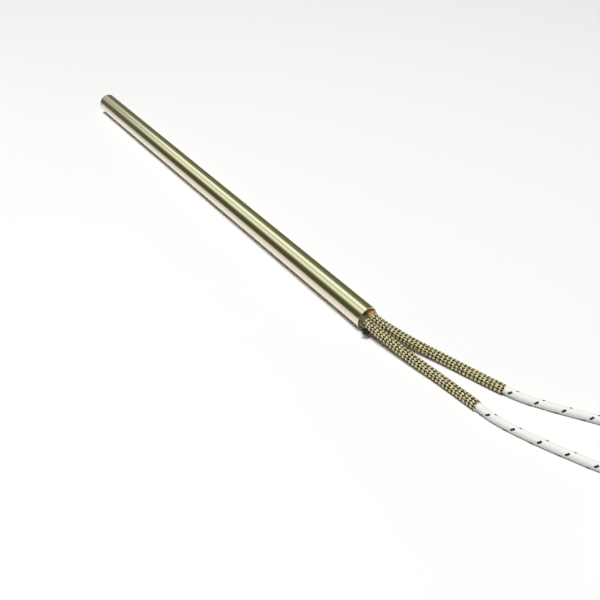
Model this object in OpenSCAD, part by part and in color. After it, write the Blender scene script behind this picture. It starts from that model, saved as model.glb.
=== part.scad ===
// Cartridge heater: a round metal sheath with a wound ceramic core, potted leads and braided sleeves.
// It lies along X on the plane z = 0, with its closed end at -X and its leads at +X. Sizes in millimetres.

/* [Sheath] */
// Overall length, from the closed end to the open mouth
heater_length = 180; // [120:5:300]
// Outside diameter of the sheath
sheath_od = 8; // [7.8:0.1:12]
// Wall thickness of the sheath tube
sheath_wall = 0.5; // [0.4:0.05:0.6]
// Edge break round the outside of the mouth
mouth_break = 0.15; // [0.05:0.05:0.3]

/* [End cap] */
// Thickness of the welded cap's head
cap_head = 1.5; // [1.2:0.1:3]
// Radius of the rounded weld round the closed end
cap_round = 1; // [0.2:0.1:1.1]
// Length of the spigot that the cap has inside the tube
cap_spigot = 3; // [2:0.5:6]

/* [Core and winding] */
// Thickness of the ceramic spacer between cap and core
spacer_length = 4; // [2:0.5:8]
// Diameter of the ceramic cores
core_od = 5.1; // [4.9:0.05:5.2]
// Diameter of the resistance wire
wire_d = 0.35; // [0.25:0.05:0.4]
// Distance from turn to turn of the winding, rounded to whole turns
wire_pitch = 3; // [2.5:0.25:6]
// Depth of the slot in a core's end that lets the wire in to its pin
slot_depth = 1.2; // [0.8:0.1:2]
// Diameter of the two terminal pins
pin_d = 0.9; // [0.7:0.05:1]
// Length of the short pin that the last core holds
short_pin_hold = 12; // [6:1:18]

/* [Head] */
// Length of the ceramic insulator that holds the crimp barrels
head_length = 12; // [11:1:20]
// Length of the crimp barrels
barrel_length = 10; // [8.5:0.5:10]
// Diameter of the crimp barrels
barrel_od = 1.9; // [1.7:0.1:2.2]
// Length of pin inside its barrel
pin_hold = 4; // [2:0.5:4]
// Diameter of a lead's bare strands
strand_d = 1.2; // [0.9:0.1:1.3]
// Length of bare strands inside the barrel
strand_hold = 4; // [2:0.5:4]
// Length of the potting that seals the mouth
potting_length = 6; // [5:0.5:10]
// Depth of the potting's face inside the mouth
mouth_recess = 1.2; // [0.4:0.2:3]

/* [Leads] */
// Diameter of a lead over its glass braid
lead_od = 2.5; // [2:0.1:2.6]
// Length of bare strands at the far end of each lead
bare_length = 7; // [4:1:10]
// Wall of the metal braid sleeve
sleeve_wall = 0.3; // [0.26:0.02:0.36]
// Length of the front sleeve outside the mouth
front_sleeve_length = 45; // [30:1:46]
// Length of the rear sleeve outside the mouth
rear_sleeve_length = 47; // [30:1:48]
// Length of sleeve that the potting holds
sleeve_hold = 4; // [2:0.5:4.5]
// Distance along the sleeve from one crossing of the braid to the next
braid_pitch = 1.4; // [1.2:0.1:2]
// Height of the braid's ridges
braid_depth = 0.2; // [0.1:0.02:0.22]
// Strand positions round the sleeve
braid_count = 16; // [12:2:20]

/* [Lead coil] */
// Diameter of the coil at the middle of its turns
coil_d = 30; // [26:1:34]
// Width of the tie round the coil
tie_width = 3; // [2:0.5:5]
// Thickness of the tie
tie_thickness = 0.4; // [0.2:0.1:0.6]
// Direction of the tie from the coil's centre
tie_angle = 300; // [270:5:330]
// Direction of the front lead's bare end from the coil's centre
front_end_angle = 126; // [115:1:135]
// Direction of the rear lead's bare end from the coil's centre
rear_end_angle = 164; // [155:1:175]
// Angle by which the bare ends turn in from the line of the coil
end_turn = 25; // [15:5:45]

/* [Fits] */
// Clearance of a piece pressed or potted into another
fit = 0.02; // [0.01:0.01:0.03]
// Clearance between a lead and its sleeve
sleeve_fit = 0.06; // [0.04:0.01:0.08]
// Gap between the two sleeves where they leave the mouth
lead_gap = 0.1; // [0.05:0.05:0.15]

/* [Hidden] */
$fn = 64;

axis_z = sheath_od / 2;
sheath_id = sheath_od - 2 * sheath_wall;
inside_d = sheath_id - 2 * fit;
lead_r = lead_od / 2;
sleeve_id = lead_od + 2 * sleeve_fit;
sleeve_od = sleeve_id + 2 * sleeve_wall;
sleeve_r = sleeve_od / 2;

// Each lead, its barrel and its pin share one line, this far to the side of the heater's axis.
side = (sleeve_od + lead_gap) / 2;

// Stations along the heater, from the closed end to the mouth.
x_end = -heater_length / 2;
x_mouth = heater_length / 2;
x_tube = x_end + cap_head;
x_spacer = x_tube + cap_spigot + fit;
x_core = x_spacer + spacer_length + fit;
x_potting = x_mouth - mouth_recess - potting_length;
x_head = x_potting - head_length;
x_barrel = x_potting - fit - barrel_length;

core_count = 5;
core_step = (x_head - x_core) / core_count;
core_length = core_step - fit;

// The winding clears the core at the middle of each straight piece of wire.
wire_steps = 12;
winding_r = (core_od / 2 + wire_d / 2 + fit) / cos(180 / wire_steps);
fill_id = 2 * winding_r + wire_d + 2 * fit;
slot_play = 0.3;
slot_width = wire_d + slot_play;
x_wire = x_core + slot_depth / 2;
wire_span = x_head - fit - slot_depth / 2 - x_wire;
wire_turns = floor(wire_span / wire_pitch) + 0.5;

// The coil holds both leads side by side, in two layers. Its centre lies past the mouth and to one side.
coil_bundle = 2 * lead_od;
coil_past = 107;
coil_aside = 10;
coil_at = [x_mouth + coil_past, coil_aside, 0];

// Route of each lead from the potting to the coil: distance past the mouth, distance to the side of
// its place in the mouth, and height as a share of the way up from the floor to the heater's axis.
front_route = [
  [x_potting - x_mouth, 0, 1], [-3, 0, 1], [-1, 0, 1], [2, 0, 1], [6, 0.2, 0.94], [12, 0.8, 0.7],
  [18, 1.5, 0.42], [24, 2.3, 0.2], [30, 3.1, 0.07], [38, 3.8, 0.01], [44.6, 4.3, 0.01], [50, 4.8, 0.06],
  [56, 6.3, 0.01], [63, 8.6, 0.01], [70, 11.3, 0.01], [77, 14.2, 0.01], [84, 17.6, 0.01], [89, 20.9, 0.01],
  [93.6, 24.9, 0.01]
];
rear_route = [
  [x_potting - x_mouth, 0, 1], [-3, 0, 1], [-1, 0, 1], [2, 0, 1], [6, 0.4, 0.94], [12, 1.8, 0.7],
  [18, 3.7, 0.42], [24, 5.7, 0.2], [30, 7.5, 0.07], [38, 9.7, 0.01], [45.2, 11.8, 0.01], [50, 13.6, 0.06],
  [54, 15.7, 0.02], [60.5, 19.5, 0.01], [67, 23.6, 0.01], [75, 28.2, 0.01], [82, 31, 0.01], [90, 32.6, 0.02],
  [98, 32.2, 0.1], [106, 29.9, 0.5], [114.1, 25.8, 0.91]
];

// A lead rests on the floor, or on the sleeve that it runs in.
function placed(route, y, sleeve_length) = [
  for (p = route)
    let (rest = p[0] < sleeve_length + 1 ? sleeve_r : lead_r)
    [x_mouth + p[0], y + p[1], rest + p[2] * (axis_z - rest)]
];

// Point on the smooth curve through listed points, a share t of the way from point i to the next.
function curve_point(p, i, t) =
  let (a = p[max(i - 1, 0)], b = p[i], c = p[i + 1], d = p[min(i + 2, len(p) - 1)])
  b + t * (c - a) / 2 + t * t * (a - 2.5 * b + 2 * c - d / 2) + t * t * t * (1.5 * (b - c) + (d - a) / 2);
function curve(p, steps) = [
  for (i = [0:len(p) - 2], k = [0:steps - 1]) curve_point(p, i, k / steps),
  p[len(p) - 1]
];

// Length along a path up to each of its points, and the point at a given length.
function lengths(p) = [
  for (i = 0, s = 0; i < len(p); s = s + (i + 1 < len(p) ? norm(p[i + 1] - p[i]) : 0), i = i + 1) s
];
function point_at(p, s, at) = [
  for (k = [0:2]) lookup(at, [for (i = [0:len(p) - 1]) [s[i], p[i][k]]])
];

// Ring of points round a path, one for each radius in the list, in the plane across the path.
function ring(centre, ahead, radii) =
  let (
    u = ahead / norm(ahead),
    across = [-u[1], u[0], 0] / norm([u[0], u[1]]),
    up = cross(u, across),
    n = len(radii)
  )
  [for (k = [0:n - 1]) centre + radii[k] * (cos(360 * k / n) * across + sin(360 * k / n) * up)];
function ahead_of(p, i) = p[min(i + 1, len(p) - 1)] - p[max(i - 1, 0)];

// Faces of a skin of rings, n points each, from a first point's number.
// A cell's diagonal joins its two raised corners, so the ridges run both ways round.
function cell(a, b, c, d, even) = even ? [[a, d, c], [a, c, b]] : [[a, d, b], [d, c, b]];
function skin(first, rings, n) = [
  for (i = [0:rings - 2], k = [0:n - 1])
    let (
      a = first + i * n + k,
      b = first + i * n + (k + 1) % n,
      c = first + (i + 1) * n + (k + 1) % n,
      d = first + (i + 1) * n + k
    )
    each cell(a, b, c, d, (i + k) % 2 == 0)
];
function flipped(faces) = [for (f = faces) [f[2], f[1], f[0]]];

front_line = curve(placed(front_route, -side, front_sleeve_length), 3);
rear_line = curve(placed(rear_route, side, rear_sleeve_length), 3);

// Lays a piece along the heater's axis, starting at station x.
module along(x, y = 0) {
  translate([x, y, axis_z])
    rotate([0, 90, 0])
      children();
}

// Two bores along the lines of the leads, through a piece that along() places.
module lead_bores(d, from, length) {
  for (y = [-side, side])
    translate([0, y, from])
      cylinder(d = d, h = length);
}

module sheath() {
  length = x_mouth - x_tube;
  color("silver")
    along(x_tube)
      difference() {
        union() {
          cylinder(d = sheath_od, h = length - mouth_break);
          translate([0, 0, length - mouth_break])
            cylinder(d1 = sheath_od, d2 = sheath_od - 2 * mouth_break, h = mouth_break);
        }
        translate([0, 0, -1])
          cylinder(d = sheath_id, h = length + 2);
      }
}

module end_cap() {
  r = min(cap_round, cap_head);
  color("darkgray")
    along(x_end) {
      rotate_extrude()
        difference() {
          square([sheath_od / 2, cap_head]);
          translate([sheath_od / 2 - r, 0])
            difference() {
              translate([0, -1])
                square([r + 1, r + 1]);
              translate([0, r])
                circle(r);
            }
        }
      cylinder(d = inside_d, h = cap_head + cap_spigot);
    }
}

module end_spacer() {
  color("ivory")
    along(x_spacer)
      cylinder(d = inside_d, h = spacer_length);
}

// One ceramic core with a bore for each pin, and a slot at an end where the winding goes in.
module core(index, slot_at = -1, slot_side = 1) {
  color("oldlace")
    along(x_core + index * core_step)
      difference() {
        cylinder(d = core_od, h = core_length);
        lead_bores(pin_d + 2 * fit, -1, core_length + 2);
        if (slot_at >= 0)
          translate([-slot_width / 2, slot_side > 0 ? side : -core_od, slot_at])
            cube([slot_width, core_od - (slot_side > 0 ? 0 : side), slot_depth]);
      }
}

module core_1() core(0, slot_at = 0, slot_side = 1);
module core_2() core(1);
module core_3() core(2);
module core_4() core(3);
module core_5() core(4, slot_at = core_length - slot_depth, slot_side = -1);

// Resistance wire: from the long pin out through its slot, round the cores, and in to the short pin.
module heating_wire() {
  steps = wire_turns * wire_steps;
  inner_r = side + pin_d / 2 + wire_d / 2 + fit;
  turns = [
    for (i = [0:steps])
      let (a = 360 * i / wire_steps)
      [x_wire + wire_span * i / steps, winding_r * cos(a), axis_z + winding_r * sin(a)]
  ];
  path = concat(
    [[x_wire, inner_r, axis_z]],
    turns,
    [[x_wire + wire_span, -inner_r, axis_z]]
  );
  n = 4;
  points = [
    for (i = [0:len(path) - 1])
      let (
        t = ahead_of(path, i) / norm(ahead_of(path, i)),
        u = ([1, 0, 0] - t[0] * t) / norm([1, 0, 0] - t[0] * t),
        v = cross(t, u)
      )
      for (k = [0:n - 1]) path[i] + wire_d / 2 * (cos(90 * k) * u + sin(90 * k) * v)
  ];
  last = (len(path) - 1) * n;
  color("dimgray")
    polyhedron(
      points,
      concat(skin(0, len(path), n), [[0, 1, 2, 3], [last + 3, last + 2, last + 1, last]])
    );
}

module magnesia_fill() {
  color("white")
    along(x_core)
      difference() {
        cylinder(d = inside_d, h = x_head - fit - x_core);
        translate([0, 0, -1])
          cylinder(d = fill_id, h = x_head - x_core + 2);
      }
}

// A terminal pin from station x to the bottom of its barrel.
module pin(x, y) {
  color("gray")
    along(x, y)
      cylinder(d = pin_d, h = x_barrel + pin_hold - x);
}

module pin_long() pin(x_core + fit, side);
module pin_short() pin(x_head - fit - short_pin_hold, -side);

module head_insulator() {
  color("ivory")
    along(x_head)
      difference() {
        cylinder(d = inside_d, h = head_length - fit);
        lead_bores(pin_d + 2 * fit, -1, head_length);
        lead_bores(barrel_od + 2 * fit, x_barrel - fit - x_head, head_length);
      }
}

// Crimp barrel: a pin in one end and a lead's strands in the other.
module barrel(y) {
  color("slategray")
    along(x_barrel, y)
      difference() {
        cylinder(d = barrel_od, h = barrel_length);
        translate([0, 0, -1])
          cylinder(d = pin_d + 2 * fit, h = pin_hold + fit + 1);
        translate([0, 0, barrel_length - strand_hold - fit])
          cylinder(d = strand_d + 2 * fit, h = strand_hold + fit + 1);
      }
}

module barrel_front() barrel(-side);
module barrel_rear() barrel(side);

// Stripped strands of a lead in their barrel.
module strand(y) {
  color("lightgray")
    along(x_potting - fit - strand_hold, y)
      cylinder(d = strand_d, h = strand_hold + fit);
}

module strand_front() strand(-side);
module strand_rear() strand(side);

module potting() {
  color("peru")
    along(x_potting)
      difference() {
        cylinder(d = inside_d, h = potting_length);
        lead_bores(lead_od + 2 * fit, -1, potting_length + 2);
        lead_bores(sleeve_od + 2 * fit, potting_length - sleeve_hold - fit, potting_length);
      }
}

// Braided sleeve along a lead: the ridges of the crossing strands outside, a plain bore inside.
module sleeve(line, sleeve_length) {
  n = braid_count;
  s = lengths(line);
  from = potting_length - sleeve_hold;
  total = sleeve_hold + mouth_recess + sleeve_length;
  rows = 2 * round(total / braid_pitch);
  bore_rows = ceil(rows / 4);
  bore_r = sleeve_id / 2 / cos(180 / n);
  function ridge(i, k) = sleeve_r - ((i + k) % 2 == 0 ? 0 : braid_depth);
  function hoop(at, radii) =
    ring(point_at(line, s, at), point_at(line, s, at + 0.5) - point_at(line, s, at - 0.5), radii);
  outside = [
    for (i = [0:rows])
      each hoop(from + total * i / rows, [for (k = [0:n - 1]) ridge(i, k)])
  ];
  inside = [
    for (i = [0:bore_rows])
      each hoop(from + total * i / bore_rows, [for (k = [0:n - 1]) bore_r])
  ];
  first = len(outside);
  function end_face(o, i, k) = [[o + k, o + (k + 1) % n, i + (k + 1) % n], [o + k, i + (k + 1) % n, i + k]];
  near = [for (k = [0:n - 1]) each end_face(0, first, k)];
  far = [for (k = [0:n - 1]) each end_face(rows * n, first + bore_rows * n, k)];
  color("lightgray")
    polyhedron(
      concat(outside, inside),
      concat(skin(0, rows + 1, n), flipped(skin(first, bore_rows + 1, n)), near, flipped(far))
    );
}

module sleeve_front() sleeve(front_line, front_sleeve_length);
module sleeve_rear() sleeve(rear_line, rear_sleeve_length);

// A lead over its glass braid, from the potting to the coil.
module lead(line) {
  n = 8;
  points = [
    for (i = [0:len(line) - 1])
      each ring(line[i], ahead_of(line, i), [for (k = [0:n - 1]) lead_r])
  ];
  last = (len(line) - 1) * n;
  color("whitesmoke")
    polyhedron(
      points,
      concat(skin(0, len(line), n), [[for (k = [0:n - 1]) k], [for (k = [n - 1:-1:0]) last + k]])
    );
}

module lead_front() lead(front_line);
module lead_rear() lead(rear_line);

// Section of the coil's bundle of turns, with corners as round as a lead.
module bundle(size, r) {
  square([size, size - 2 * r], center = true);
  square([size - 2 * r, size], center = true);
  for (x = [-1, 1], y = [-1, 1])
    translate([x, y] * (size / 2 - r))
      circle(r);
}

// Places a straight piece of the bundle's section where the tie goes round it.
module at_tie() {
  translate(coil_at)
    rotate(tie_angle)
      translate([coil_d / 2, 0, coil_bundle / 2])
        rotate([90, 0, 0])
          children();
}

// Both leads wound together, drawn in by the tie where it grips them.
module lead_coil() {
  color("whitesmoke")
    difference() {
      translate(coil_at)
        rotate_extrude()
          translate([coil_d / 2, coil_bundle / 2])
            bundle(coil_bundle, lead_r);
      at_tie()
        linear_extrude(tie_width + 2 * fit, center = true)
          difference() {
            square(2 * coil_bundle, center = true);
            bundle(coil_bundle - 2 * tie_thickness - 2 * fit, lead_r - tie_thickness);
          }
    }
}

module coil_tie() {
  color("black")
    at_tie()
      linear_extrude(tie_width, center = true)
        difference() {
          bundle(coil_bundle, lead_r);
          bundle(coil_bundle - 2 * tie_thickness, lead_r - tie_thickness);
        }
}

// Stripped far end of a lead: it comes off the inside of the coil and points into the hole.
module bare_end(layer, angle) {
  color("lightgray")
    translate(coil_at)
      rotate(angle)
        translate([(coil_d - coil_bundle) / 2 - strand_d, 0, (layer + 0.5) * lead_od])
          rotate([90, 0, -end_turn])
            cylinder(d = strand_d, h = bare_length);
}

module bare_end_front() bare_end(0, front_end_angle);
module bare_end_rear() bare_end(1, rear_end_angle);

sheath();
end_cap();
end_spacer();
core_1();
core_2();
core_3();
core_4();
core_5();
heating_wire();
magnesia_fill();
pin_long();
pin_short();
head_insulator();
barrel_front();
barrel_rear();
strand_front();
strand_rear();
potting();
sleeve_front();
sleeve_rear();
lead_front();
lead_rear();
lead_coil();
coil_tie();
bare_end_front();
bare_end_rear();
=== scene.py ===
# Cartridge heater with two sleeved leads, lying on a white table.
import math
import random

import bpy
import numpy as np
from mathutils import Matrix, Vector, noise


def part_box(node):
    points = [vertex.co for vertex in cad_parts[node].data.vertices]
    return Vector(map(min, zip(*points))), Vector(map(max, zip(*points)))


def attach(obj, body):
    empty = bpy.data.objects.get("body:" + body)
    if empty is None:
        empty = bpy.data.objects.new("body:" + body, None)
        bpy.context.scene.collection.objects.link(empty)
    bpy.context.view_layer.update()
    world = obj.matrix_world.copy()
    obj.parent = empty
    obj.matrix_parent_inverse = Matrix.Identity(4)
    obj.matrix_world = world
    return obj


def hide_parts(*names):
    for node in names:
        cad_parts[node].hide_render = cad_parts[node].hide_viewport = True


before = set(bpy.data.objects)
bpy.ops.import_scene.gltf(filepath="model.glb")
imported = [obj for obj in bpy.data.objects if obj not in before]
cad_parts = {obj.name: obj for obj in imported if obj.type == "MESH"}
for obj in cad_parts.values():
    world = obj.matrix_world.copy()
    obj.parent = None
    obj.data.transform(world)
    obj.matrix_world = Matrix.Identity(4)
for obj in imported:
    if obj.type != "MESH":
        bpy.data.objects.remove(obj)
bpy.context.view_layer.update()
random.seed(8)

# Sheath
# A drawn stainless tube, ground to size and polished, so it mirrors the studio in long clean bands.
# Its mouth is cut square with a broken edge, and its other end is welded to the cap.
sheath_low, sheath_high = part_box("sheath")
x_mouth = sheath_high[0]
tube_radius = (sheath_high[2] - sheath_low[2]) / 2
axis_height = (sheath_high[2] + sheath_low[2]) / 2
tube_wall = 0.0005
lip = 0.00015
steel_dark = (0.77, 0.70, 0.58)
steel_light = (0.82, 0.75, 0.62)


def add_mesh(name, points, faces, slots):
    """A smooth shaded mesh with its material slots."""
    mesh = bpy.data.meshes.new(name)
    mesh.from_pydata([tuple(p) for p in points], [], faces)
    mesh.update()
    mesh.shade_smooth()
    mesh.set_sharp_from_angle(angle=math.radians(40))
    piece = bpy.data.objects.new(name, mesh)
    bpy.context.collection.objects.link(piece)
    for material in slots:
        mesh.materials.append(material)
    return piece


def lathe(name, profile, material, segments=192):
    """A closed profile of (station, radius) points turned about the heater's axis."""
    turn = [2 * math.pi * k / segments for k in range(segments)]
    points = [
        (x, r * math.cos(a), axis_height + r * math.sin(a)) for x, r in profile for a in turn
    ]
    faces = []
    for i in range(len(profile)):
        after = (i + 1) % len(profile)
        for k in range(segments):
            beside = (k + 1) % segments
            faces.append((
                i * segments + k, i * segments + beside,
                after * segments + beside, after * segments + k,
            ))
    return add_mesh(name, points, faces, [material])


def corner(x, r, radius, start, steps=6):
    """Quarter round about (x, r), from an angle in degrees, clockwise."""
    angles = [math.radians(start - 90 * i / steps) for i in range(steps + 1)]
    return [(x + radius * math.cos(a), r + radius * math.sin(a)) for a in angles]


def new_group(name, values, results):
    """An empty shader group with its named inputs and outputs."""
    group = bpy.data.node_groups.new(name, "ShaderNodeTree")
    for label, kind, default in values:
        socket = group.interface.new_socket(label, in_out="INPUT", socket_type=kind)
        socket.default_value = default
    for label, kind in results:
        group.interface.new_socket(label, in_out="OUTPUT", socket_type=kind)
    entry = group.nodes.new("NodeGroupInput")
    way_out = group.nodes.new("NodeGroupOutput")
    return group, entry, way_out


def mottle_group():
    """Patches and fine grain that shift a finish between two colours."""
    group, entry, way_out = new_group(
        "Mottle",
        [
            ("Dark", "NodeSocketColor", (0.5, 0.5, 0.5, 1)),
            ("Light", "NodeSocketColor", (0.6, 0.6, 0.6, 1)),
            ("Scale", "NodeSocketVector", (1.0, 1.0, 1.0)),
        ],
        [("Color", "NodeSocketColor"), ("Value", "NodeSocketFloat")],
    )
    place = group.nodes.new("ShaderNodeTexCoord")
    stretch = group.nodes.new("ShaderNodeVectorMath")
    stretch.operation = "MULTIPLY"
    grain = group.nodes.new("ShaderNodeTexNoise")
    grain.inputs["Scale"].default_value = 1.0
    grain.inputs["Detail"].default_value = 4.0
    blend = group.nodes.new("ShaderNodeMix")
    blend.data_type = "RGBA"
    link = group.links.new
    link(place.outputs["Object"], stretch.inputs[0])
    link(entry.outputs["Scale"], stretch.inputs[1])
    link(stretch.outputs[0], grain.inputs["Vector"])
    link(grain.outputs["Fac"], blend.inputs["Factor"])
    link(entry.outputs["Dark"], blend.inputs["A"])
    link(entry.outputs["Light"], blend.inputs["B"])
    link(blend.outputs["Result"], way_out.inputs["Color"])
    link(grain.outputs["Fac"], way_out.inputs["Value"])
    return group


mottle = mottle_group()


def finish(name, dark, light, scale, smooth, rough, metal=0.0, bump=0.0, depth=0.00002):
    """A mottled finish: two colours, a grain in repeats per metre, and a range of roughness."""
    material = bpy.data.materials.new(name)
    material.use_nodes = True
    nodes = material.node_tree.nodes
    link = material.node_tree.links.new
    shader = nodes["Principled BSDF"]
    shader.inputs["Metallic"].default_value = metal
    look = nodes.new("ShaderNodeGroup")
    look.node_tree = mottle
    look.inputs["Dark"].default_value = (*dark, 1)
    look.inputs["Light"].default_value = (*light, 1)
    look.inputs["Scale"].default_value = scale
    link(look.outputs["Color"], shader.inputs["Base Color"])
    sheen = nodes.new("ShaderNodeMapRange")
    sheen.inputs["To Min"].default_value = smooth
    sheen.inputs["To Max"].default_value = rough
    link(look.outputs["Value"], sheen.inputs["Value"])
    link(sheen.outputs["Result"], shader.inputs["Roughness"])
    if bump:
        relief = nodes.new("ShaderNodeBump")
        relief.inputs["Strength"].default_value = bump
        relief.inputs["Distance"].default_value = depth
        link(look.outputs["Value"], relief.inputs["Height"])
        link(relief.outputs["Normal"], shader.inputs["Normal"])
    return material


bore = tube_radius - tube_wall
polished_steel = finish(
    "polished_steel", steel_dark, steel_light, (60, 1500, 1500), 0.08, 0.13, metal=1.0
)
tube_profile = [(sheath_low[0], bore), (sheath_low[0], tube_radius)]
tube_profile += corner(x_mouth - lip, tube_radius - lip, lip, 90)
tube_profile += corner(x_mouth - lip, bore + lip, lip, 0)
sheath = lathe("sheath_tube", tube_profile, polished_steel)
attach(sheath, "root")
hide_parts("sheath")

# End cap
# A turned stainless plug that closes the tube. It is welded round its edge, and the weld is
# dressed to a soft radius, so this end is duller and greyer than the polished tube.
cap_low, cap_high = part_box("end_cap")
cap_round = 0.001
cap_seam = 0.00006
cap_steps = 12
clearance = 0.00002
near_axis = 0.00001
seam_x = sheath_low[0]
spigot = bore - clearance
dressed_weld = finish(
    "dressed_weld", (0.42, 0.41, 0.37), (0.56, 0.55, 0.50), (900, 900, 900), 0.24, 0.40,
    metal=1.0, bump=0.15,
)
cap_profile = [(cap_high[0], near_axis), (cap_high[0], spigot), (seam_x, spigot)]
cap_profile += [(seam_x, tube_radius - cap_seam), (seam_x - cap_seam, tube_radius)]
cap_edge = corner(cap_low[0] + cap_round, tube_radius - cap_round, cap_round, 180, cap_steps)
cap_profile += reversed(cap_edge)
cap_profile += [(cap_low[0], near_axis)]
end_cap = lathe("welded_end_cap", cap_profile, dressed_weld)
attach(end_cap, "root")
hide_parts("end_cap")

# Core, winding and head
# Pressed magnesia bodies carry a nickel chromium winding and two nickel pins. Packed magnesia holds
# them in the tube, and crimp barrels in the head join the pins to the leads' strands.
pressed_ceramic = finish(
    "pressed_ceramic", (0.84, 0.81, 0.74), (0.92, 0.90, 0.84), (2200, 2200, 2200), 0.65, 0.85, bump=0.2
)
packed_magnesia = finish(
    "packed_magnesia", (0.86, 0.85, 0.82), (0.95, 0.94, 0.92), (4000, 4000, 4000), 0.8, 0.95, bump=0.4
)
oxidised_wire = finish(
    "oxidised_wire", (0.26, 0.25, 0.24), (0.40, 0.38, 0.36), (1500, 3000, 3000), 0.35, 0.55, metal=1.0
)
nickel = finish(
    "nickel", (0.54, 0.53, 0.50), (0.66, 0.65, 0.61), (300, 4000, 4000), 0.25, 0.4, metal=1.0
)
tinned_strands = finish(
    "tinned_strands", (0.62, 0.61, 0.58), (0.76, 0.75, 0.72), (900, 3000, 3000), 0.25, 0.4, metal=1.0
)
inner_finishes = {
    pressed_ceramic: ["end_spacer", "core_1", "core_2", "core_3", "core_4", "core_5", "head_insulator"],
    packed_magnesia: ["magnesia_fill"],
    oxidised_wire: ["heating_wire"],
    nickel: ["pin_long", "pin_short", "barrel_front", "barrel_rear"],
    tinned_strands: ["strand_front", "strand_rear"],
}
for material, names in inner_finishes.items():
    for name in names:
        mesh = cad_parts[name].data
        mesh.materials.clear()
        mesh.materials.append(material)

# Potting
# Amber resin cement poured round the leads to seal the mouth. It wets the tube's wall, creeps up
# the sleeves past the mouth, and sets with a lumpy glossy face. Its colour darkens towards its near
# side.
potting_low, potting_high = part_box("potting")
front_low, front_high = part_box("strand_front")
side = -(front_low[1] + front_high[1]) / 2
sleeve_radius = 0.00161
potting_radius = bore - clearance
creep = 0.0026
creep_reach = 0.0006
wall_creep = 0.0003
lump = 0.0004
lump_size = 0.0011
smear = 0.0014
smear_near = 0.6
smear_low = 0.8
resin_near_dark = (0.13, 0.09, 0.06)
near_dark_low = 0.3
near_dark_high = 0.75
amber_resin = finish(
    "amber_resin", (0.20, 0.13, 0.06), (0.70, 0.46, 0.16), (300, 450, 450), 0.18, 0.38,
    bump=0.4, depth=0.0001,
)


def darkening_group():
    """A darker colour where the mesh's crown value is low, and the clean colour where it is high."""
    group, entry, way_out = new_group(
        "Darkening",
        [
            ("Clean", "NodeSocketColor", (0.8, 0.8, 0.8, 1)),
            ("Darkening", "NodeSocketColor", (0.1, 0.1, 0.1, 1)),
            ("Low", "NodeSocketFloat", 0.0),
            ("High", "NodeSocketFloat", 1.0),
        ],
        [("Color", "NodeSocketColor")],
    )
    crown = group.nodes.new("ShaderNodeAttribute")
    crown.attribute_name = "crown"
    reach = group.nodes.new("ShaderNodeMapRange")
    reach.interpolation_type = "SMOOTHSTEP"
    blend = group.nodes.new("ShaderNodeMix")
    blend.data_type = "RGBA"
    link = group.links.new
    link(crown.outputs["Fac"], reach.inputs["Value"])
    link(entry.outputs["Low"], reach.inputs["From Min"])
    link(entry.outputs["High"], reach.inputs["From Max"])
    link(reach.outputs["Result"], blend.inputs["Factor"])
    link(entry.outputs["Darkening"], blend.inputs["A"])
    link(entry.outputs["Clean"], blend.inputs["B"])
    link(blend.outputs["Result"], way_out.inputs["Color"])
    return group


darkening_look = darkening_group()


def darkened(material, darkening_colour, low, high):
    """Places the darkening between a finish's own colour and its shader."""
    tree = material.node_tree
    shader = tree.nodes["Principled BSDF"]
    look = tree.nodes.new("ShaderNodeGroup")
    look.node_tree = darkening_look
    look.inputs["Darkening"].default_value = (*darkening_colour, 1)
    look.inputs["Low"].default_value = low
    look.inputs["High"].default_value = high
    tree.links.new(shader.inputs["Base Color"].links[0].from_socket, look.inputs["Clean"])
    tree.links.new(look.outputs["Color"], shader.inputs["Base Color"])


def potting_height(y, z):
    """How far the cement stands above its nominal face at a point across the mouth."""
    off_wall = potting_radius - math.hypot(y, z)
    off_sleeve = min(math.hypot(y - s, z) for s in (-side, side)) - sleeve_radius
    rise = creep * math.exp(-max(off_sleeve, 0) / creep_reach)
    below = -(smear_near * (y + side) + smear_low * z) / sleeve_radius
    rise += smear * max(below, 0) * math.exp(-max(off_sleeve, 0) / creep_reach)
    rise += wall_creep * math.exp(-off_wall / creep_reach)
    return rise + lump * noise.noise(Vector((y, z, 0)) / lump_size)


def potting_mesh(rings=28, segments=96):
    """A closed plug with a lumpy face."""
    points = [(potting_high[0] + potting_height(0, 0), 0, axis_height)]
    for i in range(1, rings + 1):
        for k in range(segments):
            a = 2 * math.pi * k / segments
            r = potting_radius * i / rings
            y = r * math.cos(a)
            z = r * math.sin(a)
            points.append((potting_high[0] + potting_height(y, z), y, axis_height + z))
    edge = 1 + (rings - 1) * segments
    back = len(points)
    for k in range(segments):
        _, y, z = points[edge + k]
        points.append((potting_low[0], y, z))
    faces = [(0, 1 + k, 1 + (k + 1) % segments) for k in range(segments)]
    for i in range(rings - 1):
        for k in range(segments):
            a = 1 + i * segments + k
            b = 1 + i * segments + (k + 1) % segments
            faces.append((a, a + segments, b + segments, b))
    for k in range(segments):
        beside = (k + 1) % segments
        faces.append((edge + k, back + k, back + beside, edge + beside))
    faces.append(tuple(back + k for k in range(segments)))
    return points, faces


# Darkens the cement towards its near side: the crown value runs from 0 there to 1 on the far side.
darkened(amber_resin, resin_near_dark, near_dark_low, near_dark_high)
potting = add_mesh("potting_cement", *potting_mesh(), [amber_resin])
far_side = potting.data.attributes.new("crown", "FLOAT", "POINT")
far_side.data.foreach_set("value", [0.5 + v.co.y / (2 * side) for v in potting.data.vertices])
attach(potting, "root")
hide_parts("potting")

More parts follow.
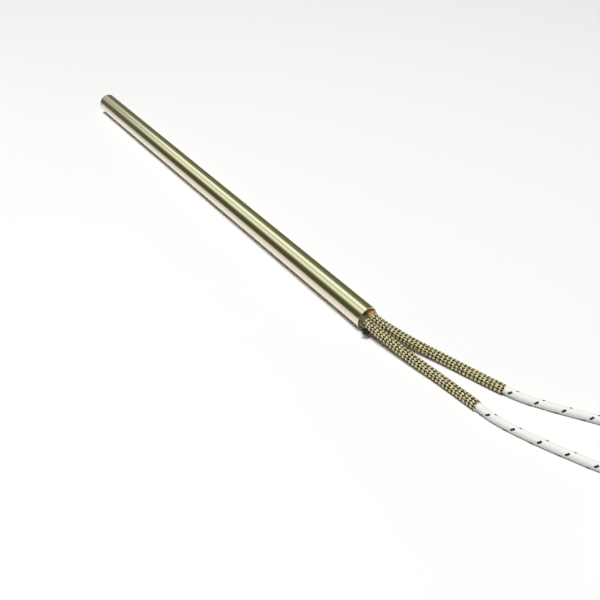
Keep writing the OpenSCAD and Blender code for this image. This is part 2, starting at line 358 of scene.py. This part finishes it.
# Leads
# Two stranded leads in a white braid of glass yarn, sixteen yarns over two and under two, with one
# black yarn in each. They run out through the sleeves and along the table, and the rest is coiled.
lead_radius = 0.00125
bare_length = 0.007
coil_low, coil_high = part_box("lead_coil")
coil_x = (coil_low[0] + coil_high[0]) / 2
coil_y = (coil_low[1] + coil_high[1]) / 2
front_sleeve = 0.045
rear_sleeve = 0.047
sleeve_tail = 0.001
x_start = potting_low[0] - x_mouth
front_route = [
    (x_start, 0, 1), (-0.003, 0, 1), (-0.001, 0, 1), (0.002, 0, 1), (0.006, 0.0002, 0.94),
    (0.012, 0.0008, 0.7), (0.018, 0.0015, 0.42), (0.024, 0.0023, 0.2), (0.030, 0.0031, 0.07),
    (0.038, 0.0038, 0.01), (0.0446, 0.0043, 0.01), (0.050, 0.0048, 0.06), (0.056, 0.0063, 0.01),
    (0.063, 0.0086, 0.01), (0.070, 0.0113, 0.01), (0.077, 0.0142, 0.01), (0.084, 0.0176, 0.01),
    (0.089, 0.0209, 0.01), (0.0936, 0.0249, 0.01),
]
rear_route = [
    (x_start, 0, 1), (-0.003, 0, 1), (-0.001, 0, 1), (0.002, 0, 1), (0.006, 0.0004, 0.94),
    (0.012, 0.0018, 0.7), (0.018, 0.0037, 0.42), (0.024, 0.0057, 0.2), (0.030, 0.0075, 0.07),
    (0.038, 0.0097, 0.01), (0.0452, 0.0118, 0.01), (0.050, 0.0136, 0.06), (0.054, 0.0157, 0.02),
    (0.0605, 0.0195, 0.01), (0.067, 0.0236, 0.01), (0.075, 0.0282, 0.01), (0.082, 0.031, 0.01),
    (0.090, 0.0326, 0.02), (0.098, 0.0322, 0.1), (0.106, 0.0299, 0.5), (0.1141, 0.0258, 0.91),
]
coil_outer = 0.0176
coil_drop = 0.0025
coil_settle = 2.1
end_bend = math.radians(40)
end_inward = 0.002
coil_step = math.radians(3)
front_sweep = math.radians(729)
rear_sweep = math.radians(627)
braid_lay = 0.00764
yarns = 8
yarn_relief = 0.00005
front_tracer = -0.298
rear_tracer = -0.305
tracer_start = -0.382
ring_step = 0.0002
lead_sides = 48


def placed(route, y, sleeve_length):
    """Route points in the part's frame: the height is a share of the way up to the heater's axis."""
    points = []
    for past, aside, share in route:
        rest = sleeve_radius if past < sleeve_length + sleeve_tail else lead_radius
        points.append((x_mouth + past, y + aside, rest + share * (axis_height - rest)))
    return np.array(points)


def smooth_line(points, steps=24):
    """The smooth curve through listed points."""
    line = []
    last = len(points) - 1
    for i in range(last):
        a = points[max(i - 1, 0)]
        b = points[i]
        c = points[i + 1]
        d = points[min(i + 2, last)]
        for k in range(steps):
            t = k / steps
            line.append(
                b + t * (c - a) / 2 + t * t * (a - 2.5 * b + 2 * c - d / 2)
                + t ** 3 * (1.5 * (b - c) + (d - a) / 2)
            )
    line.append(points[last])
    return np.array(line)


def coiled(start, sweep):
    """Turns that run on clockwise from a lead's last point and draw in round the coil's centre."""
    dx = start[0] - coil_x
    dy = start[1] - coil_y
    first_r = math.hypot(dx, dy)
    first_a = math.atan2(dy, dx)
    points = []
    for i in range(1, round(sweep / coil_step) + 1):
        turned = i * coil_step
        r = coil_outer - coil_drop * turned / (2 * math.pi)
        r += (first_r - coil_outer) * math.exp(-turned / coil_settle)
        r -= end_inward * max(0.0, 1 - (sweep - turned) / end_bend) ** 2
        a = first_a - turned
        points.append((coil_x + r * math.cos(a), coil_y + r * math.sin(a), start[2]))
    return np.array(points)


def along(line):
    """Length along a line up to each of its points."""
    return np.concatenate([[0.0], np.cumsum(np.linalg.norm(np.diff(line, axis=0), axis=1))])


def evenly(line, step):
    """The same line with even spacing, and the length up to each point."""
    at = along(line)
    count = int(round(at[-1] / step))
    s = np.linspace(0.0, at[-1], count + 1)
    return np.stack([np.interp(s, at, line[:, k]) for k in range(3)], axis=1), s


def frames(line):
    """Directions along a line, level across it and up from it."""
    ahead = np.gradient(line, axis=0)
    ahead /= np.linalg.norm(ahead, axis=1)[:, None]
    across = np.stack([-ahead[:, 1], ahead[:, 0], np.zeros(len(line))], axis=1)
    across /= np.linalg.norm(across, axis=1)[:, None]
    return ahead, across, np.cross(ahead, across)


def tube_faces(rings, sides, first=0):
    """Faces of a tube of rings, closed at both ends."""
    faces = []
    for i in range(rings - 1):
        for k in range(sides):
            a = first + i * sides + k
            b = first + i * sides + (k + 1) % sides
            faces.append((a, b, b + sides, a + sides))
    faces.append(tuple(first + k for k in reversed(range(sides))))
    faces.append(tuple(first + (rings - 1) * sides + k for k in range(sides)))
    return faces


def lead_line(route, y, sleeve_length, sweep):
    """Centre line of a lead, from the potting to the end of its braid."""
    open_line = smooth_line(placed(route, y, sleeve_length))
    return np.concatenate([open_line, coiled(open_line[-1], sweep)])


def lead_mesh(name, line, tracer_turn, tracer_slide, material):
    """A lead with the relief of its braid, and a map of turns round it and lays along it."""
    centres, s = evenly(line, ring_step)
    _, across, up = frames(centres)
    turn = np.arange(lead_sides) / lead_sides
    round_it = turn[None, :] + tracer_turn
    lays = s[:, None] / braid_lay + tracer_slide
    left = yarns * (round_it + lays)
    right = yarns * (round_it - lays)
    left_over = np.mod(np.floor(left) + np.floor(right), 4) < 2
    crown_left = 1 - (2 * (left - np.floor(left)) - 1) ** 2
    crown_right = 1 - (2 * (right - np.floor(right)) - 1) ** 2
    crown = np.where(left_over, crown_left, crown_right)
    radius = lead_radius - yarn_relief * (1 - crown)
    angle = 2 * math.pi * turn
    points = (
        centres[:, None, :]
        + (radius * np.cos(angle))[:, :, None] * across[:, None, :]
        + (radius * np.sin(angle))[:, :, None] * up[:, None, :]
    ).reshape(-1, 3)
    faces = tube_faces(len(centres), lead_sides)
    piece = add_mesh(name, points, faces, [material])
    chart = piece.data.uv_layers.new(name="braid")
    rows = np.repeat(np.arange(len(centres) - 1), lead_sides)
    cols = np.tile(np.arange(lead_sides), len(centres) - 1)
    u = np.stack([cols, cols + 1, cols + 1, cols], axis=1) / lead_sides + tracer_turn
    v = s[np.stack([rows, rows, rows + 1, rows + 1], axis=1)] / braid_lay + tracer_slide
    coordinates = np.zeros((len(piece.data.loops), 2))
    coordinates[: u.size, 0] = u.ravel()
    coordinates[: u.size, 1] = v.ravel()
    chart.data.foreach_set("uv", coordinates.ravel())
    return piece, centres


def math_node(tree, operation, first, second=None):
    """A math node on sockets or numbers, and its result."""
    node = tree.nodes.new("ShaderNodeMath")
    node.operation = operation
    for slot_index, value in enumerate((first, second)):
        if value is None:
            continue
        if isinstance(value, (int, float)):
            node.inputs[slot_index].default_value = value
        else:
            tree.links.new(value, node.inputs[slot_index])
    return node.outputs[0]


def braid_finish(name, yarn_dark, yarn_light, tracer):
    """White glass yarn, with the black yarn wherever it passes over the others."""
    material = finish(name, yarn_dark, yarn_light, (3000, 3000, 3000), 0.55, 0.75)
    tree = material.node_tree
    shader = tree.nodes["Principled BSDF"]
    chart = tree.nodes.new("ShaderNodeUVMap")
    chart.uv_map = "braid"
    split = tree.nodes.new("ShaderNodeSeparateXYZ")
    tree.links.new(chart.outputs["UV"], split.inputs[0])
    sum_of = math_node(tree, "ADD", split.outputs["X"], split.outputs["Y"])
    difference = math_node(tree, "SUBTRACT", split.outputs["X"], split.outputs["Y"])
    left = math_node(tree, "FLOOR", math_node(tree, "MULTIPLY", sum_of, yarns))
    right = math_node(tree, "FLOOR", math_node(tree, "MULTIPLY", difference, yarns))
    one_yarn = math_node(tree, "LESS_THAN", math_node(tree, "FLOORED_MODULO", left, yarns), 0.5)
    pattern = math_node(tree, "FLOORED_MODULO", math_node(tree, "ADD", left, right), 4)
    over = math_node(tree, "LESS_THAN", pattern, 1.5)
    fleck = math_node(tree, "MULTIPLY", one_yarn, over)
    white = shader.inputs["Base Color"].links[0].from_socket
    blend = tree.nodes.new("ShaderNodeMix")
    blend.data_type = "RGBA"
    blend.inputs["B"].default_value = (*tracer, 1)
    tree.links.new(fleck, blend.inputs["Factor"])
    tree.links.new(white, blend.inputs["A"])
    tree.links.new(blend.outputs["Result"], shader.inputs["Base Color"])
    return material


glass_braid = braid_finish("glass_braid", (0.93, 0.93, 0.89), (0.98, 0.98, 0.94), (0.02, 0.02, 0.02))
front_line = lead_line(front_route, -side, front_sleeve, front_sweep)
rear_line = lead_line(rear_route, side, rear_sleeve, rear_sweep)
lead_front, front_path = lead_mesh(
    "lead_front_braid", front_line, front_tracer, tracer_start, glass_braid
)
lead_rear, rear_path = lead_mesh(
    "lead_rear_braid", rear_line, rear_tracer, tracer_start, glass_braid
)
for lead, node in ((lead_front, "lead_front"), (lead_rear, "lead_rear")):
    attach(lead, "root")
    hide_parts(node, "lead_coil")

# Sleeves
# Tubular braid of wire, ten carriers each way, over one and under one: three bright wires to a carrier
# one way and two the other, which are painted darker, a painted shade for the highlights the second way
# lacks.
# Painted shade also darkens each wire where it dips under the others, and a near-black sheet under the
# wires is painted shade in its gaps. The potting holds one end, and a tuft of broken wires stands out
# there in the full dark colour, which also stands for the shade under the mouth.
sleeve_inside = 0.001
braid_radius = 0.00139
braid_wave = 0.00012
carriers = 10
bright_wires = 3
shaded_wires = 2
wire_radius = 0.0001
wire_gap = 0.00019
wire_lay = 0.0127
shaded_hand_share = 0.12
carrier_sway = 0.07
sway_length = 0.0083
carrier_wear = 0.35
wear_length = 0.0047
wire_step = 0.00021
wire_sides = 5
wire_trim = 2
wire_painted_shade = (0.045, 0.030, 0.008)
shade_low = 0.1
shade_high = 0.45
mouth_within = 0.02
shade_sheet_radius = 0.00128
shade_sheet_sides = 24
shade_sheet_every = 4
front_strays = 26
rear_strays = 2
stray_from = 0.0026
stray_to = 0.0044
stray_length = 0.0024
stray_reach = (0.4, 1.0)
stray_angles = (190, 255)
stray_lean = 0.2
stray_bend = 0.4
stray_radius = 0.0001
stray_steps = 8


def wire_tube(centres, outward, radius, sides):
    """Rings of a thin wire along its centres."""
    ahead = np.gradient(centres, axis=0)
    ahead /= np.linalg.norm(ahead, axis=1)[:, None]
    beside = np.cross(ahead, outward)
    beside /= np.linalg.norm(beside, axis=1)[:, None]
    out = np.cross(beside, ahead)
    angle = 2 * math.pi * np.arange(sides) / sides
    return (
        centres[:, None, :]
        + radius * np.cos(angle)[None, :, None] * beside[:, None, :]
        + radius * np.sin(angle)[None, :, None] * out[:, None, :]
    ).reshape(-1, 3)


def woven_sleeve(name, line, length, strays, slots):
    """Every wire of a sleeve along its lead, its broken stray wires, and a dark sheet of painted shade
    under them.
    """
    at = along(line)
    start = at[np.argmin(np.abs(line[at <= mouth_within, 0] - x_mouth))]
    begin = start - (x_mouth - potting_high[0]) - sleeve_inside
    total = start + length - begin
    s = np.linspace(0.0, total, int(total / wire_step))
    centre = np.stack([np.interp(begin + s, at, line[:, k]) for k in range(3)], axis=1)
    ahead, across, up = frames(centre)
    slant = math.cos(math.atan(2 * math.pi * braid_radius / wire_lay))
    points = []
    faces = []
    crowns = []
    count = 0
    for hand, wires, painted_light_share in ((1, bright_wires, 1.0), (-1, shaded_wires, shaded_hand_share)):
        for carrier in range(carriers):
            sway = carrier_sway * np.sin(2 * math.pi * (s / sway_length + random.random()))
            wear = 1 + carrier_wear * np.sin(2 * math.pi * (s / wear_length + random.random()))
            for wire in range(wires):
                offset = (wire - (wires - 1) / 2) * wire_gap / (braid_radius * slant)
                angle = 2 * math.pi * (carrier / carriers + hand * s / wire_lay) + offset + sway
                wave = np.cos(2 * math.pi * carriers * s / wire_lay + hand * offset * carriers / 2)
                radius = braid_radius + hand * braid_wave * wave
                outward = np.cos(angle)[:, None] * across + np.sin(angle)[:, None] * up
                trim = len(s) - random.randint(0, wire_trim)
                tube = wire_tube(
                    (centre + radius[:, None] * outward)[:trim], outward[:trim], wire_radius, wire_sides
                )
                points.append(tube)
                # Painted shade: the crown value falls where a wire dips under the others and on the
                # darker hand, and the wire darkens there.
                crown = painted_light_share * wear * (0.5 + 0.5 * hand * wave)
                crowns.append(np.repeat(crown[:trim], wire_sides))
                faces += tube_faces(trim, wire_sides, count)
                count += len(tube)
    wire_faces = len(faces)
    for _ in range(strays):
        angle = math.radians(random.uniform(*stray_angles))
        at_wire = int((start - begin + random.uniform(stray_from, stray_to)) / wire_step)
        reach = random.uniform(*stray_reach) * stray_length
        outward = math.cos(angle) * across[at_wire] + math.sin(angle) * up[at_wire]
        bend = np.array([random.uniform(-stray_bend, stray_bend) for k in range(3)])
        t = np.linspace(0.0, 1.0, stray_steps)[:, None]
        root = centre[at_wire] + braid_radius * outward
        lean = outward - stray_lean * ahead[at_wire]
        hair = root + reach * (t * lean + t * t * bend)
        hair[:, 2] = np.maximum(hair[:, 2], stray_radius)
        tube = wire_tube(hair, np.tile(up[at_wire], (stray_steps, 1)), stray_radius, wire_sides)
        points.append(tube)
        # The stray wires take the full dark colour, which also stands for the shade under the mouth.
        crowns.append(np.zeros(len(tube)))
        faces += tube_faces(stray_steps, wire_sides, count)
        count += len(tube)
    # A near-black sheet under the wires: painted shade in the braid's gaps.
    shade_sheet_centre = centre[::shade_sheet_every]
    points.append(wire_tube(shade_sheet_centre, up[::shade_sheet_every], shade_sheet_radius, shade_sheet_sides))
    faces += tube_faces(len(shade_sheet_centre), shade_sheet_sides, count)
    piece = add_mesh(name, np.concatenate(points), faces, slots)
    choice = np.zeros(len(faces), dtype=np.int32)
    choice[wire_faces:] = 1
    piece.data.polygons.foreach_set("material_index", choice)
    height = piece.data.attributes.new("crown", "FLOAT", "POINT")
    height.data.foreach_set("value", np.concatenate(crowns + [np.zeros(len(points[-1]))]))
    return piece


bright_wire = finish(
    "bright_wire", (0.99, 0.88, 0.52), (1.0, 0.94, 0.64), (1500, 1500, 1500), 0.14, 0.26, metal=0.42
)
# Painted shade: the wires darken where their crown value is low.
darkened(bright_wire, wire_painted_shade, shade_low, shade_high)
# Near-black sheet under the braid: painted shade in its gaps.
shade_sheet = finish(
    "shade_sheet", (0.015, 0.012, 0.008), (0.03, 0.025, 0.015), (3000, 3000, 3000), 0.6, 0.8
)
sleeve_slots = [bright_wire, shade_sheet]
sleeve_front = woven_sleeve("sleeve_front_braid", front_line, front_sleeve, front_strays, sleeve_slots)
sleeve_rear = woven_sleeve("sleeve_rear_braid", rear_line, rear_sleeve, rear_strays, sleeve_slots)
for sleeve, node in ((sleeve_front, "sleeve_front"), (sleeve_rear, "sleeve_rear")):
    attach(sleeve, "root")
    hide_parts(node)

# Bare ends
# The stripped far end of each lead: seven tinned nickel strands with the lay that they had in the
# braid, cut square, which come off the inside of the coil.
strand_radius = 0.0002
strand_lay = 0.012
strand_sides = 10
strand_steps = 60
strand_inside = 0.001
outer_strands = 6
end_points = 6


def bare_end(name, path, material):
    """Seven twisted strands that run on from the end of a lead."""
    ahead = path[-1] - path[-end_points]
    ahead /= np.linalg.norm(ahead)
    s = np.linspace(-strand_inside, bare_length, strand_steps)
    centre = path[-1] + s[:, None] * ahead
    _, across, up = frames(centre)
    points = []
    faces = []
    for strand in range(outer_strands + 1):
        angle = 2 * math.pi * (strand / outer_strands + s / strand_lay)
        reach = 0.0 if strand == outer_strands else 2 * strand_radius
        outward = np.cos(angle)[:, None] * across + np.sin(angle)[:, None] * up
        tube = wire_tube(centre + reach * outward, outward, strand_radius, strand_sides)
        faces += tube_faces(len(s), strand_sides, len(tube) * strand)
        points.append(tube)
    return add_mesh(name, np.concatenate(points), faces, [material])


end_front = bare_end("bare_strands_front", front_path, tinned_strands)
end_rear = bare_end("bare_strands_rear", rear_path, tinned_strands)
for end, node in ((end_front, "bare_end_front"), (end_rear, "bare_end_rear")):
    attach(end, "root")
    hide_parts(node)

# Coil tie
# A flat black tie, a wire core in a plastic coat, that goes once round both leads and holds the
# coil together. It is pulled snug, so its corners follow the round leads inside it.
tie_angle = math.radians(300)
tie_width = 0.003
tie_thickness = 0.0004
tie_middle = 0.01545
tie_height = 0.0025
tie_half = 0.0031
tie_half_height = 0.00255
tie_corner = 0.0014
coated_tie = finish(
    "coated_tie", (0.012, 0.012, 0.012), (0.03, 0.03, 0.03), (2500, 2500, 2500), 0.35, 0.5, bump=0.2
)


def tie_mesh(steps=10):
    """A band with rounded corners round the section of the coil."""
    outline = []
    for cx, cz, first in ((1, 1, 0), (-1, 1, 90), (-1, -1, 180), (1, -1, 270)):
        for i in range(steps + 1):
            a = math.radians(first + 90 * i / steps)
            outline.append((
                cx * (tie_half - tie_corner), cz * (tie_half_height - tie_corner),
                math.cos(a), math.sin(a),
            ))
    edge = tie_thickness / 3
    section = [
        (0.0, tie_width / 2 - edge), (edge, tie_width / 2), (tie_thickness - edge, tie_width / 2),
        (tie_thickness, tie_width / 2 - edge), (tie_thickness, edge - tie_width / 2),
        (tie_thickness - edge, -tie_width / 2), (edge, -tie_width / 2), (0.0, edge - tie_width / 2),
    ]
    points = []
    for cx, cz, dx, dz in outline:
        for out, along_it in section:
            r = tie_middle + cx + (tie_corner + out) * dx
            z = max(tie_height + cz + (tie_corner + out) * dz, clearance)
            points.append((
                coil_x + r * math.cos(tie_angle) - along_it * math.sin(tie_angle),
                coil_y + r * math.sin(tie_angle) + along_it * math.cos(tie_angle),
                z,
            ))
    n = len(section)
    faces = []
    for i in range(len(outline)):
        after = (i + 1) % len(outline)
        for k in range(n):
            beside = (k + 1) % n
            faces.append((i * n + k, i * n + beside, after * n + beside, after * n + k))
    return points, faces


tie = add_mesh("coil_tie_band", *tie_mesh(), [coated_tie])
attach(tie, "root")
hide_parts("coil_tie")

# Table
# A plain white table top that takes the soft shadow of the heater and its leads. Its satin sheen
# darkens the far part of it that the tube's side mirrors at a flat angle.
table_half = 1.0
table_sheen = 0.2
table_roughness = 0.08
table_white = (0.88, 0.88, 0.88)
table_seen = (1.0, 1.0, 1.0)
table_corners = [(-table_half, -table_half, 0), (table_half, -table_half, 0)]
table_corners += [(table_half, table_half, 0), (-table_half, table_half, 0)]
table = add_mesh("table_top", table_corners, [(0, 1, 2, 3)], [])
white_top = bpy.data.materials.new("white_top")
white_top.use_nodes = True
tree = white_top.node_tree
shader = tree.nodes["Principled BSDF"]
shader.inputs["Roughness"].default_value = table_roughness
shader.inputs["Specular IOR Level"].default_value = table_sheen
rays = tree.nodes.new("ShaderNodeLightPath")
seen = math_node(tree, "MAXIMUM", rays.outputs["Is Camera Ray"], rays.outputs["Is Glossy Ray"])
seen = math_node(tree, "MAXIMUM", seen, rays.outputs["Is Transmission Ray"])
whiten = tree.nodes.new("ShaderNodeMix")
whiten.data_type = "RGBA"
whiten.inputs["A"].default_value = (*table_white, 1)
whiten.inputs["B"].default_value = (*table_seen, 1)
tree.links.new(seen, whiten.inputs["Factor"])
tree.links.new(whiten.outputs["Result"], shader.inputs["Base Color"])
table.data.materials.append(white_top)

# Studio light
# A wide soft box hangs over the heater. The polished tube mirrors its long bright bands and the unlit
# room beside them, and the camera sees only white beyond the table.
room_ambient = 0.06
ambient_colour = (1.0, 0.94, 0.88)
room_peak = 1.6
room_bands = [
    (34, 0.085), (46, 0.22), (58, 0.88), (70, 1.1), (77, 0.8), (82, 0.52), (88, 0.85), (97, 1.15),
    (106, 1.38), (112, 1.05), (119, 0.55), (126, 0.22), (155, 0.16), (176, 0.07),
]
room_green = 1.08
room_blue = 0.87
dark_blue = 0.3
blue_rise = 1.6
end_wall = (0.17, 0.16, 0.14)
end_wall_share = 0.55
end_wall_from = -0.74
end_wall_to = -0.82
world = bpy.data.worlds.new("studio")
bpy.context.scene.world = world
world.use_nodes = True
tree = world.node_tree
direction = tree.nodes.new("ShaderNodeTexCoord")
split = tree.nodes.new("ShaderNodeSeparateXYZ")
tree.links.new(direction.outputs["Generated"], split.inputs[0])
near = math_node(tree, "MULTIPLY", split.outputs["Y"], -1.0)
height = math_node(tree, "ARCTAN2", split.outputs["Z"], near)
ramp = tree.nodes.new("ShaderNodeValToRGB")
tree.links.new(math_node(tree, "DIVIDE", height, math.pi), ramp.inputs["Fac"])
stops = ramp.color_ramp.elements
for i, (degrees, level) in enumerate(room_bands):
    stop = stops[i] if i < 2 else stops.new(degrees / 180)
    stop.position = degrees / 180
    blue = min(room_blue, dark_blue + blue_rise * level)
    stop.color = (level / room_peak, room_green * level / room_peak, blue * level / room_peak, 1)
far_end = tree.nodes.new("ShaderNodeMapRange")
far_end.inputs["From Min"].default_value = end_wall_from
far_end.inputs["From Max"].default_value = end_wall_to
far_end.inputs["To Max"].default_value = end_wall_share
tree.links.new(split.outputs["X"], far_end.inputs["Value"])
room = tree.nodes.new("ShaderNodeMix")
room.data_type = "RGBA"
room.inputs["B"].default_value = (*(c / room_peak for c in end_wall), 1)
tree.links.new(far_end.outputs["Result"], room.inputs["Factor"])
tree.links.new(ramp.outputs["Color"], room.inputs["A"])
backdrop = tree.nodes["Background"]
backdrop.inputs["Strength"].default_value = room_peak
tree.links.new(room.outputs["Result"], backdrop.inputs["Color"])
ambient = tree.nodes.new("ShaderNodeBackground")
ambient.inputs["Color"].default_value = (*ambient_colour, 1)
ambient.inputs["Strength"].default_value = room_ambient
rays = tree.nodes.new("ShaderNodeLightPath")
choose = tree.nodes.new("ShaderNodeMixShader")
tree.links.new(rays.outputs["Is Glossy Ray"], choose.inputs["Fac"])
tree.links.new(ambient.outputs[0], choose.inputs[1])
tree.links.new(backdrop.outputs[0], choose.inputs[2])
white_wall = tree.nodes.new("ShaderNodeBackground")
white_wall.inputs["Color"].default_value = (1, 1, 1, 1)
seen = tree.nodes.new("ShaderNodeMixShader")
tree.links.new(rays.outputs["Is Camera Ray"], seen.inputs["Fac"])
tree.links.new(choose.outputs[0], seen.inputs[1])
tree.links.new(white_wall.outputs[0], seen.inputs[2])
tree.links.new(seen.outputs[0], tree.nodes["World Output"].inputs["Surface"])
lamp_place = Vector((0.0, -0.35, 2.4))
lamp_target = Vector((0.06, 0.0, 0.0))
lamp_size = 0.9
lamp_power = 57.5
lamp_data = bpy.data.lights.new("soft_box", "AREA")
lamp_data.size = lamp_size
lamp_data.energy = lamp_power
lamp = bpy.data.objects.new("soft_box", lamp_data)
lamp.location = lamp_place
lamp.rotation_euler = (lamp_target - lamp_place).to_track_quat("-Z", "Y").to_euler()
lamp.visible_glossy = False
bpy.context.collection.objects.link(lamp)

# Camera
# It looks down on the heater from its near side, beyond the lead end, so the leads run towards it
# and the tube runs away to its closed end.
camera_place = (0.2032, -0.1155, 0.1632)
camera_aim = Vector((-0.5731, 0.4473, -0.6867))
camera_lens = 42.5
camera_data = bpy.data.cameras.new("camera")
camera_data.sensor_width = 36.0
camera_data.lens = camera_lens
camera_data.clip_start = 0.005
camera = bpy.data.objects.new("camera", camera_data)
camera.location = camera_place
camera.rotation_euler = camera_aim.to_track_quat("-Z", "Y").to_euler()
bpy.context.collection.objects.link(camera)
scene = bpy.context.scene
scene.camera = camera
scene.view_settings.view_transform = "Standard"
